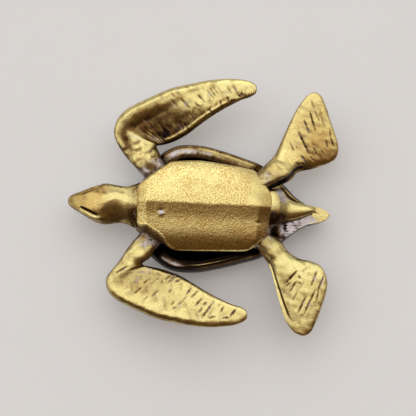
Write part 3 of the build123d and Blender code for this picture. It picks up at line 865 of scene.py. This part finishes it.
def upper_shell_surface(sizes):
    """Upper shell: rings run from the middle to the many-sided edge, over the edge and back below. The height
    is a roof over the width, less the deepest of the bevels inside the edges. The bevels are crisp on the
    left side only, and the left of the front falls away beyond a bent border. There is a small pit at the
    rear, and at the front a pale spot, painted as a grey glint, that leans to the right."""
    ray, reach, normal, distance = plate_outline(count=480)
    top_rings, side_rings, under_rings = 160, 8, 8
    top_share = np.sin(np.linspace(0.004, 1, top_rings) * np.pi / 2)
    side_share = np.linspace(0, 1, side_rings)[1:]
    under_share = np.linspace(0.97, 0.02, under_rings)
    share = np.concatenate([top_share, np.ones(len(side_share)), under_share])
    down = np.concatenate([np.zeros(len(top_share)), side_share, np.ones(len(under_share))])[:, None]
    plan = ray[None] * (reach[None, :, None] * share[:, None, None])
    x, y = plan[..., 0], plan[..., 1]

    inset = distance - np.einsum("ijk,mk->ijm", plan, normal)
    width, incline = np.array(PLATE_STRIPS).T
    cuts = (width * MILLIMETRE - inset) * incline
    cuts = np.concatenate([cuts, np.zeros_like(cuts[..., :1])], -1)
    softness = 0.00003 + 0.0004 * ease(-0.0005, 0.003, -y)[..., None]
    deepest = cuts.max(-1, keepdims=True)
    cut = deepest + softness * np.log(np.exp((cuts - deepest) / softness).sum(-1, keepdims=True))
    edge_round = 0.00045
    brink = np.clip(edge_round - inset.min(-1), 0, edge_round)
    rounded = np.sqrt(edge_round**2 - brink**2 + 1e-14) - edge_round
    bend_x, bend_y = through(PLATE_BORDER, count=80).T * MILLIMETRE
    beyond = y - np.interp(x, bend_x, bend_y)
    border = 0.00008 * hump(beyond, -0.00015, 0.00016) - 0.6 * np.clip(beyond, 0, None)
    ridge = sizes.plate_underside + sizes.plate_edge + sizes.plate_crown
    top = ridge - plate_roof(y) + border - cut[..., 0] + rounded

    pit_x, pit_y = -0.0107, 0.0029
    # The pale spot is a painted glint, tilted to catch the light.
    pale_spot_x, pale_spot_y = 0.0066, 0.0019
    pit = hump(np.hypot((x - pit_x) / 2, y - pit_y), 0, 0.0002) * (1 - down)
    pale_spot = hump(np.hypot(x - pale_spot_x, y - pale_spot_y), 0, 0.00048) * (1 - down)
    z = top * (1 - down) + sizes.plate_underside * down - 0.00012 * pit + 0.5 * pale_spot * (y - pale_spot_y)
    grid = np.stack([x, y, z], -1)

    # Rear, below and beyond paint shade: at the left of the rear, on the underside and past the bent border;
    # steepness paints shade on steep edges.
    rear = (0.6 * ease(0.0115, 0.0135, -x) + 0.7 * ease(0.012, 0.0132, -x)) * ease(0, 0.002, y)
    below = ease(0, 0.5, down)
    patina_and_shade = np.clip(steepness(grid, 0.15, 0.6) + rear + below + ease(0, 0.0003, beyond), 0, 1.3)
    skin = np.maximum(0.2 * below, 2.6 * pale_spot)
    smooth = ease(0.006, 0.0125, -x)
    film = 0.35 * ease(0.009, 0.0105, x) * ease(-0.001, 0.001, -y)
    return grid, {"groove": 0.8 * pit, "patina_and_shade": patina_and_shade, "skin": skin, "smooth": smooth, "film": film}


def core_surface(sizes):
    """Core: the upper shell's outline, drawn in between the limbs and swollen into a fillet beside each of
    them, stacked along a profile that is widest at the height of the limbs."""
    ray, reach, _, _ = plate_outline(count=360)
    bearing = np.degrees(np.arctan2(ray[:, 1], ray[:, 0]))[:, None]
    middle, width = np.array(FILLETS, float).T
    apart = np.abs((bearing - middle + 180) % 360 - 180)
    swell = hump(apart, 0, width).max(1)
    rear = ease(150, 172, np.abs(bearing[:, 0]))
    outline = ray * (reach + np.minimum(0.0034 * swell + 0.0022 * rear - 0.0024, 0.0019))[:, None]
    size, level = np.split(through(CORE_STATIONS, count=90), 2, axis=1)
    plan = outline[None] * size[..., None]
    height = np.broadcast_to(level * sizes.limb_height, plan.shape[:2])
    grid = np.concatenate([plan, height[..., None]], -1)
    grid[..., 2] += 0.0001 * ripple(grid, 0.002, seed=31) * ease(0.6, 0.9, size)
    # The core is brown all over, tarnish with painted shade where it shows in the gaps, and painted grey
    # glints near its top.
    return grid, {"groove": 0.0, "patina_and_shade": 1.1, "skin": (0.6 + 0.25 * rear) * ease(0.8, 1.0, level)}


def lower_shell_surface(sizes):
    """Lower shell: the rim's outline, scaled and lifted along the wall's profile, with a dip under each limb.
    The hollow is shallow by the tail and ends before the tail point, so the inner rings are drawn forward and
    up there."""
    half = through(RIM_STATIONS, count=221)
    rim = np.concatenate([half * [1, RIM_LEFT], half[-2:0:-1] * [1, -RIM_RIGHT]])
    outline = rim * [sizes.half_length, sizes.shell_half]
    wall, step = along_stations(WALL_STATIONS, count=170)
    scale, lift = np.split(wall, 2, axis=1)
    sternward = -outline[:, 0] / sizes.half_length
    tip = ease(0.80, 0.95, sternward)
    quarter = ease(0.60, 0.75, sternward)
    left = ease(0, 0.001, outline[:, 1])
    wider = 0.06 * ease(0.002, 0.006, outline[:, 1]) * band(8, 10, 12, 14, step)
    blunt = 0.9 * (1 - scale) * np.maximum(tip, quarter * left) * band(4.5, 5.5, 7, 9, step)
    plan = outline[None] * (scale + wider + blunt)[..., None]
    plan[..., 1] += 0.00035 * quarter * ease(2, 4, step)
    inner = ease(7.5, 9.5, step)
    hollow_end = -0.62 * sizes.half_length
    plan[..., 0] += 0.6 * inner * np.clip(hollow_end - plan[..., 0], 0, None)

    dips = np.array(RIM_DIPS) * MILLIMETRE
    gap = np.linalg.norm(outline[:, None] - dips[:, 0:2], axis=-1) / dips[:, 2]
    dip = np.exp(-(gap**4)).max(1)
    stern = ease(0.58, 0.68, -plan[..., 0] / sizes.half_length)
    share = np.maximum(lift, 0)
    share = share + stern * ease(9, 11, step) * np.clip(0.80 - share, 0, None)
    height = share * sizes.rim_height * (1 - 0.3 * dip)
    grid = np.concatenate([plan, height[..., None]], -1)
    grid[..., 2] += 0.0001 * inner * ease(0.2, 0.6, share) * ripple(grid, 0.0022, seed=11)
    return grid, lower_shell_marks(grid, step, scale, sizes.half_length)


def lower_shell_marks(grid, step, scale, half_length):
    """Marks of the lower shell: painted shade on the outer wall and inside the rim, a lighter rim with a
    painted grey glint and a thin bright line on each side, a bright tail point, and painted grey glints with
    dark blots and painted shade in the left of the stern."""
    x = grid[..., 0]
    aft = -x / half_length
    stern = ease(0.58, 0.68, aft)
    left = ease(0, 0.001, grid[..., 1])
    inside = ease(7.2, 7.7, step)
    outside = 1 - ease(6.6, 7.0, step)
    point = ease(0.84, 0.95, aft + 0.03 * ripple(grid, 0.0012, seed=23)) * ease(5.0, 6.0, step)
    bow = left * ease(-0.002, 0.002, x)
    right_rim = (1 - left) * (1 - stern)
    left_line = left * hump(step, 9.2, 0.35) * hump(x, -0.001, 0.005)
    right_line = right_rim * hump(step, 8.1, 0.45) * ease(-0.004, 0.002, -x)

    # Crest and shade paint shade on the rim: darker on the left and at its front, and inside it.
    crest = 0.6 + 0.4 * (1 - stern) + 0.5 * bow - 0.5 * right_rim * hump(step, 8.8, 0.8) - 0.9 * right_line
    shade = inside * (0.45 + 0.2 * left * (1 - stern) + 0.5 * (1 - left) * stern)
    # Outside paints the outer wall black as shade.
    patina_and_shade = np.clip(crest + shade + 1.7 * outside - 1.4 * left_line - 3 * point, 0, 1.7)

    # The patches are painted grey glints on the rim.
    left_patch = 1.5 * hump(x, 0.0042, 0.0022) * hump(step, 8.8, 1.2)
    right_patch = (0.6 + 0.6 * hump(x, 0.005, 0.0045)) * hump(step, 8.9, 0.8) - right_line
    patch = np.where(left > 0.5, left_patch, right_patch) - left_line
    skin = inside * (1 - ease(10.8, 12, step)) * patch + 1.5 * left * stern * ease(6.6, 7.0, step)
    skin = np.clip(skin, 0, 1.5) * (1 - point)

    # The blots are dark tarnish, deepened by painted shade in the middle of the stern hollow under the tail.
    hollow_shade = 0.7 * (1 - ease(0.6, 0.95, scale)) + hump(aft, 0.665, 0.04)
    blots_and_shade = left * stern * ease(0.1, 0.6, ripple(grid, 0.0011, seed=29) + hollow_shade) * (1 - ease(0.76, 0.86, aft))
    patina_and_shade = np.maximum(patina_and_shade * (1 - 0.4 * skin), 1.7 * blots_and_shade)
    patina_and_shade = patina_and_shade - 0.35 * outside * ease(-0.2, 0.6, ripple(grid, 0.004, seed=19)) * (1 - bow)
    return {"groove": 0.0, "patina_and_shade": patina_and_shade, "skin": skin}


# Finish


def feed(tree, target, value):
    """Links a socket to a node's input, or sets the input to a plain value."""
    if isinstance(value, bpy.types.NodeSocket):
        tree.links.new(value, target)
    else:
        target.default_value = value


def math_node(tree, kind, *values, clamp=False):
    """Math node on sockets or numbers."""
    node = tree.nodes.new("ShaderNodeMath")
    node.operation = kind
    node.use_clamp = clamp
    for target, value in zip(node.inputs, values):
        feed(tree, target, value)
    return node.outputs[0]


def noise_node(tree, vector, scale, detail=3.0, roughness=0.55):
    """Noise on a vector; the scale is a socket or a number."""
    node = tree.nodes.new("ShaderNodeTexNoise")
    node.inputs["Detail"].default_value = detail
    node.inputs["Roughness"].default_value = roughness
    feed(tree, node.inputs["Vector"], vector)
    feed(tree, node.inputs["Scale"], scale)
    return node.outputs["Fac"]


def range_node(tree, value, low, high, curve="SMOOTHSTEP"):
    """Step of a value from 0 at low to 1 at high."""
    node = tree.nodes.new("ShaderNodeMapRange")
    node.interpolation_type = curve
    feed(tree, node.inputs["Value"], value)
    node.inputs["From Min"].default_value = low
    node.inputs["From Max"].default_value = high
    return node.outputs["Result"]


def mix_node(tree, factor, first, second):
    """Mix of two colours, the first a socket or a colour and the second a colour."""
    node = tree.nodes.new("ShaderNodeMix")
    node.data_type = "RGBA"
    # The node has sockets of one name for every type of data, so those for colours go by number.
    factor_input, first_input, second_input = node.inputs[0], node.inputs[6], node.inputs[7]
    feed(tree, factor_input, factor)
    feed(tree, first_input, first if isinstance(first, bpy.types.NodeSocket) else (*first, 1.0))
    feed(tree, second_input, (*second, 1.0))
    return node.outputs[2]


def new_group(name, inputs, outputs):
    """Empty shader node group that reads a vector and named numbers and puts out named masks."""
    group = bpy.data.node_groups.new(name, "ShaderNodeTree")
    group.interface.new_socket("Vector", in_out="INPUT", socket_type="NodeSocketVector")
    for label, default in inputs.items():
        socket = group.interface.new_socket(label, in_out="INPUT", socket_type="NodeSocketFloat")
        socket.default_value = default
    for label in outputs:
        group.interface.new_socket(label, in_out="OUTPUT", socket_type="NodeSocketFloat")
    return group, group.nodes.new("NodeGroupInput").outputs, group.nodes.new("NodeGroupOutput").inputs


def grain_group():
    """Fine cast grain: a height for a bump and a mask of small specks."""
    name = "Cast Grain"
    found = bpy.data.node_groups.get(name)
    if found:
        return found
    group, source, target = new_group(name, {"Scale": 4000.0}, ("Height", "Specks"))
    wide_scale = math_node(group, "MULTIPLY", source["Scale"], 0.22)
    fine = noise_node(group, source["Vector"], source["Scale"], detail=2.0)
    wide = noise_node(group, source["Vector"], wide_scale, detail=2.0)
    feed(group, target["Height"], math_node(group, "ADD", fine, wide))
    specks = noise_node(group, source["Vector"], source["Scale"], detail=1.0)
    feed(group, target["Specks"], range_node(group, specks, 0.44, 0.58))
    return group


def tarnish_and_painted_light_group():
    """Tarnish and painted shade in strokes, hollows, gaps and on steep sides, and painted grey glints: masks
    for brown, for black and for silver. A mark of 1 is brown and one of 1.7 is black."""
    name = "Tarnish and Painted Light"
    found = bpy.data.node_groups.get(name)
    if found:
        return found
    inputs = {"Groove": 0.0, "Patina_And_Shade": 0.0, "Skin": 0.0}
    group, source, target = new_group(name, inputs, ("Brown", "Black", "Silver"))
    vector, groove, patina_and_shade, skin = (source[label] for label in ("Vector", "Groove", "Patina_And_Shade", "Skin"))
    patch = noise_node(group, vector, 700.0, detail=4.0, roughness=0.6)
    patch = math_node(group, "MULTIPLY_ADD", patch, 1.3, 0.25)
    patched = math_node(group, "MULTIPLY", patina_and_shade, patch, clamp=True)
    grooved = math_node(group, "MULTIPLY", groove, 1.2, clamp=True)
    feed(group, target["Brown"], math_node(group, "MAXIMUM", patched, grooved))
    spots = noise_node(group, vector, 1100.0, detail=4.0, roughness=0.6)
    spots = math_node(group, "MULTIPLY", range_node(group, spots, 0.5, 0.75), patina_and_shade, clamp=True)
    cut = range_node(group, groove, 0.8, 1.4)
    deep = math_node(group, "MAXIMUM", cut, range_node(group, patina_and_shade, 1.0, 1.6))
    feed(group, target["Black"], math_node(group, "MAXIMUM", spots, deep))
    flakes = noise_node(group, vector, 620.0, detail=5.0, roughness=0.65)
    flakes = range_node(group, math_node(group, "MULTIPLY_ADD", skin, 0.3, flakes), 0.6, 0.92)
    silver = math_node(group, "MULTIPLY", flakes, range_node(group, skin, 0.0, 0.25), clamp=True)
    feed(group, target["Silver"], silver)
    return group


def group_node(tree, group, vector):
    """Node that places a shader group in a material, fed with a vector."""
    node = tree.nodes.new("ShaderNodeGroup")
    node.node_tree = group
    feed(tree, node.inputs["Vector"], vector)
    return node


def brass_material(name, finish, film, speckle, pitting, rough):
    """Aged brass: polished metal with patches of tarnish film, brown and black tarnish and painted shade in
    its hollows, gaps and steep sides, painted grey glints and a fine cast grain. Film, speckle and pitting
    are the strengths of the patches, the specks and the grain's relief."""
    found = bpy.data.materials.get(name)
    if found:
        return found
    material = bpy.data.materials.new(name)
    material.use_nodes = True
    tree = material.node_tree
    shader = next(n for n in tree.nodes if n.type == "BSDF_PRINCIPLED")
    shader.inputs["Metallic"].default_value = 1.0
    place = tree.nodes.new("ShaderNodeTexCoord").outputs["Object"]
    grain = group_node(tree, grain_group(), place)
    grain.inputs["Scale"].default_value = 1 / finish.grain
    # The group's masks paint tarnish, painted shade and painted grey glints into the colour.
    tarnish = group_node(tree, tarnish_and_painted_light_group(), place)
    marks = {}
    for mark in ("Groove", "Patina_And_Shade", "Skin", "Smooth", "Film"):
        node = tree.nodes.new("ShaderNodeAttribute")
        node.attribute_name = mark.lower()
        marks[mark] = node.outputs["Fac"]
    for mark in ("Groove", "Patina_And_Shade", "Skin"):
        feed(tree, tarnish.inputs[mark], marks[mark])

    mean_speck = 0.6
    evened = math_node(tree, "SUBTRACT", mean_speck, grain.outputs["Specks"])
    specks = math_node(tree, "MULTIPLY_ADD", evened, marks["Smooth"], grain.outputs["Specks"])
    worn_patch = range_node(tree, noise_node(tree, place, 260.0), 0.35, 0.65)
    strength = math_node(tree, "MULTIPLY_ADD", worn_patch, 0.8 * speckle, 0.6 * speckle)
    specks = math_node(tree, "MULTIPLY", specks, strength)
    blotch = noise_node(tree, place, 330.0, detail=5.0, roughness=0.6)
    dulled = math_node(tree, "MULTIPLY_ADD", range_node(tree, blotch, 0.38, 0.7), film, specks)
    dulled = math_node(tree, "ADD", dulled, marks["Film"])
    colour = mix_node(tree, dulled, finish.polished, finish.olive)
    for mask, tone in (("Brown", finish.brown), ("Silver", finish.silver), ("Black", finish.black)):
        colour = mix_node(tree, tarnish.outputs[mask], colour, tone)
    feed(tree, shader.inputs["Base Color"], colour)

    worn = math_node(tree, "MULTIPLY_ADD", grain.outputs["Specks"], 0.06, rough)
    matt = math_node(tree, "MULTIPLY_ADD", tarnish.outputs["Brown"], 0.2, worn)
    feed(tree, shader.inputs["Roughness"], matt)
    bump = tree.nodes.new("ShaderNodeBump")
    bump.inputs["Strength"].default_value = pitting
    bump.inputs["Distance"].default_value = 0.00005
    feed(tree, bump.inputs["Height"], grain.outputs["Height"])
    feed(tree, shader.inputs["Normal"], bump.outputs["Normal"])
    return material


def cast_brass(finish):
    """Finish of the upper shell, with its grain open."""
    return brass_material("Cast Brass", finish, film=0.25, speckle=0.95, pitting=1.0, rough=0.16)


def rubbed_brass(finish):
    """Finish of the head, flippers and tail."""
    return brass_material("Rubbed Brass", finish, film=0.28, speckle=0.3, pitting=0.6, rough=0.15)


def dark_brass(finish):
    """Finish of the lower shell and the core."""
    return brass_material("Dark Brass", finish, film=0.5, speckle=0.4, pitting=0.6, rough=0.2)


# Stage


def seen_rays(tree):
    """1 for what the camera sees directly, in a reflection or through glass, and 0 for the light on other
    surfaces."""
    rays = tree.nodes.new("ShaderNodeLightPath").outputs
    seen = math_node(tree, "MAXIMUM", rays["Is Camera Ray"], rays["Is Glossy Ray"])
    return math_node(tree, "MAXIMUM", seen, rays["Is Transmission Ray"])


def floor_material(stage):
    """Pale matt floor with a very faint mottle, a little brighter where it is seen than as a light."""
    material = bpy.data.materials.new("Pale Floor")
    material.use_nodes = True
    tree = material.node_tree
    shader = next(n for n in tree.nodes if n.type == "BSDF_PRINCIPLED")
    shader.inputs["Roughness"].default_value = 0.9
    shader.inputs["Specular IOR Level"].default_value = 0.1
    place = tree.nodes.new("ShaderNodeTexCoord").outputs["Object"]
    mottle = noise_node(tree, place, 60.0)
    colour = mix_node(tree, mottle, stage.floor, [0.98 * part for part in stage.floor])
    feed(tree, shader.inputs["Base Color"], colour)
    feed(tree, shader.inputs["Emission Color"], colour)
    feed(tree, shader.inputs["Emission Strength"], math_node(tree, "MULTIPLY", seen_rays(tree), 0.15))
    return material


def add_floor(scene, stage):
    """Adds the flat floor of the stage."""
    mesh = bpy.data.meshes.new("Floor")
    corners = [(FLOOR_HALF * x, FLOOR_HALF * y, 0) for x, y in ((-1, -1), (1, -1), (1, 1), (-1, 1))]
    mesh.from_pydata(corners, [], [(0, 1, 2, 3)])
    floor = bpy.data.objects.new("Floor", mesh)
    scene.collection.objects.link(floor)
    floor.data.materials.append(floor_material(stage))


def add_world(scene):
    """Adds a soft surround: bright overhead and behind the figurine, dimmer toward the horizon and dark on
    the camera's side. A narrow band along the horizon carries on the look of the floor."""
    world = bpy.data.worlds.new("Studio")
    scene.world = world
    world.use_nodes = True
    tree = world.node_tree
    background = next(n for n in tree.nodes if n.type == "BACKGROUND")
    direction = tree.nodes.new("ShaderNodeTexCoord").outputs["Generated"]
    split = tree.nodes.new("ShaderNodeSeparateXYZ")
    feed(tree, split.inputs[0], direction)
    turned = math_node(tree, "MULTIPLY_ADD", split.outputs["X"], -0.3, split.outputs["Y"])
    ramp = tree.nodes.new("ShaderNodeValToRGB")
    while len(ramp.color_ramp.elements) < len(SURROUND):
        ramp.color_ramp.elements.new(0.5)
    for stop, (position, colour) in zip(ramp.color_ramp.elements, SURROUND):
        stop.position = position
        stop.color = (*colour, 1.0)
    feed(tree, ramp.inputs["Fac"], range_node(tree, turned, -0.25, 0.55, "LINEAR"))
    level = range_node(tree, math_node(tree, "ABSOLUTE", split.outputs["Z"]), 0.035, 0.02)
    horizon = math_node(tree, "MULTIPLY", level, seen_rays(tree))
    feed(tree, background.inputs["Color"], mix_node(tree, horizon, ramp.outputs["Color"], FLOOR_LOOK))
    overhead = range_node(tree, split.outputs["Z"], 0.1, 0.7)
    strength = math_node(tree, "MULTIPLY_ADD", overhead, 0.7, 0.35)
    feed(tree, background.inputs["Strength"], math_node(tree, "MAXIMUM", strength, horizon))


def add_lamp(scene, stage):
    """Adds a soft round lamp that points at the figurine's heart."""
    lamp = bpy.data.lights.new("Soft_Lamp", "AREA")
    lamp.shape = "DISK"
    lamp.size = LAMP_SIZE
    lamp.energy = stage.lamp
    light = bpy.data.objects.new("Soft_Lamp", lamp)
    light.location = LAMP_PLACE
    light.rotation_euler = (HEART - LAMP_PLACE).to_track_quat("-Z", "Y").to_euler()
    scene.collection.objects.link(light)


def add_camera(scene, stage):
    """Adds the camera on the left side, high above the figurine, with the head to the left of the picture."""
    lens = bpy.data.cameras.new("Camera")
    lens.lens = LENS
    lens.sensor_width = SENSOR
    lens.clip_start = 0.005
    camera = bpy.data.objects.new("Camera", lens)
    back = Vector((0, math.cos(stage.elevation), math.sin(stage.elevation)))
    side = Vector((-1, 0, 0))
    up = back.cross(side)
    right = side * math.cos(stage.roll) + up * math.sin(stage.roll)
    top = up * math.cos(stage.roll) - side * math.sin(stage.roll)
    place = HEART + right * CAMERA_RIGHT + top * CAMERA_UP + back * stage.distance
    turn = Matrix((right, top, back)).transposed().to_4x4()
    camera.matrix_world = Matrix.Translation(place) @ turn
    scene.collection.objects.link(camera)
    scene.camera = camera


# Operators


class TURTLE_OT_upper_shell(bpy.types.Operator):
    """Builds the ridged upper shell"""

    bl_idname = "turtle.upper_shell"
    bl_label = "Upper Shell"

    def execute(self, context):
        grid, marks = upper_shell_surface(context.scene.turtle_sizes)
        material = cast_brass(context.scene.turtle_finish)
        place_piece(context, "Ridged_Upper_Plate", "upper_shell", grid, marks, material)
        return {"FINISHED"}


class TURTLE_OT_lower_shell(bpy.types.Operator):
    """Builds the hollow lower shell and the core inside it"""

    bl_idname = "turtle.lower_shell"
    bl_label = "Lower Shell and Core"

    def execute(self, context):
        material = dark_brass(context.scene.turtle_finish)
        grid, marks = lower_shell_surface(context.scene.turtle_sizes)
        place_piece(context, "Hollow_Lower_Tray", "lower_shell", grid, marks, material)
        grid, marks = core_surface(context.scene.turtle_sizes)
        place_piece(context, "Fillet_Core", "body_core", grid, marks, material)
        return {"FINISHED"}


class TURTLE_OT_front_flippers(bpy.types.Operator):
    """Builds both front flippers with their engraved strokes"""

    bl_idname = "turtle.front_flippers"
    bl_label = "Front Flippers"

    def execute(self, context):
        material = rubbed_brass(context.scene.turtle_finish)
        for name, node, shape in (
            ("Engraved_Front_Flipper_Left", "front_flipper_left", FRONT_LEFT),
            ("Engraved_Front_Flipper_Right", "front_flipper_right", FRONT_RIGHT),
        ):
            grid, marks = front_flipper_surface(context.scene.turtle_sizes, **shape)
            place_piece(context, name, node, grid, marks, material)
        return {"FINISHED"}


class TURTLE_OT_rear_flippers(bpy.types.Operator):
    """Builds both rear flippers with their engraved strokes"""

    bl_idname = "turtle.rear_flippers"
    bl_label = "Rear Flippers"

    def execute(self, context):
        material = rubbed_brass(context.scene.turtle_finish)
        for name, node, shape in (
            ("Engraved_Rear_Flipper_Left", "rear_flipper_left", REAR_LEFT),
            ("Engraved_Rear_Flipper_Right", "rear_flipper_right", REAR_RIGHT),
        ):
            grid, marks = rear_flipper_surface(context.scene.turtle_sizes, **shape)
            place_piece(context, name, node, grid, marks, material)
        return {"FINISHED"}


class TURTLE_OT_head(bpy.types.Operator):
    """Builds the head and neck with their slits"""

    bl_idname = "turtle.head"
    bl_label = "Head"

    def execute(self, context):
        grid, marks = head_surface(context.scene.turtle_sizes)
        material = rubbed_brass(context.scene.turtle_finish)
        place_piece(context, "Slit_Head", "head", grid, marks, material)
        return {"FINISHED"}


class TURTLE_OT_tail(bpy.types.Operator):
    """Builds the tail"""

    bl_idname = "turtle.tail"
    bl_label = "Tail"

    def execute(self, context):
        grid, marks = tail_surface(context.scene.turtle_sizes)
        material = rubbed_brass(context.scene.turtle_finish)
        place_piece(context, "Blunt_Tail", "tail", grid, marks, material)
        return {"FINISHED"}


class TURTLE_OT_stage(bpy.types.Operator):
    """Sets up the floor, the soft light and the camera"""

    bl_idname = "turtle.stage"
    bl_label = "Stage"

    def execute(self, context):
        stage = context.scene.turtle_stage
        add_floor(context.scene, stage)
        add_world(context.scene)
        add_lamp(context.scene, stage)
        add_camera(context.scene, stage)
        context.scene.view_settings.view_transform = "Standard"
        return {"FINISHED"}


class TURTLE_PT_sidebar(bpy.types.Panel):
    """Lists the operators of the figurine"""

    bl_idname = "TURTLE_PT_sidebar"
    bl_label = "Brass Turtle"
    bl_space_type = "VIEW_3D"
    bl_region_type = "UI"
    bl_category = "Turtle"

    def draw(self, context):
        for step in STEPS:
            self.layout.operator(step.bl_idname)


STEPS = (
    TURTLE_OT_stage,
    TURTLE_OT_lower_shell,
    TURTLE_OT_upper_shell,
    TURTLE_OT_front_flippers,
    TURTLE_OT_rear_flippers,
    TURTLE_OT_head,
    TURTLE_OT_tail,
)
CLASSES = (TurtleSizes, TurtleFinish, TurtleStage, *STEPS, TURTLE_PT_sidebar)


def register():
    """Registers the classes and hangs the settings on the scene."""
    for one in CLASSES:
        bpy.utils.register_class(one)
    bpy.types.Scene.turtle_sizes = bpy.props.PointerProperty(type=TurtleSizes)
    bpy.types.Scene.turtle_finish = bpy.props.PointerProperty(type=TurtleFinish)
    bpy.types.Scene.turtle_stage = bpy.props.PointerProperty(type=TurtleStage)


def unregister():
    """Takes the settings and classes away again."""
    del bpy.types.Scene.turtle_stage
    del bpy.types.Scene.turtle_finish
    del bpy.types.Scene.turtle_sizes
    for one in reversed(CLASSES):
        bpy.utils.unregister_class(one)


def main():
    """Builds the stage and every piece."""
    register()
    bpy.ops.turtle.stage()
    bpy.ops.turtle.lower_shell()
    bpy.ops.turtle.upper_shell()
    bpy.ops.turtle.front_flippers()
    bpy.ops.turtle.rear_flippers()
    bpy.ops.turtle.head()
    bpy.ops.turtle.tail()


if __name__ == "__main__":
    main()
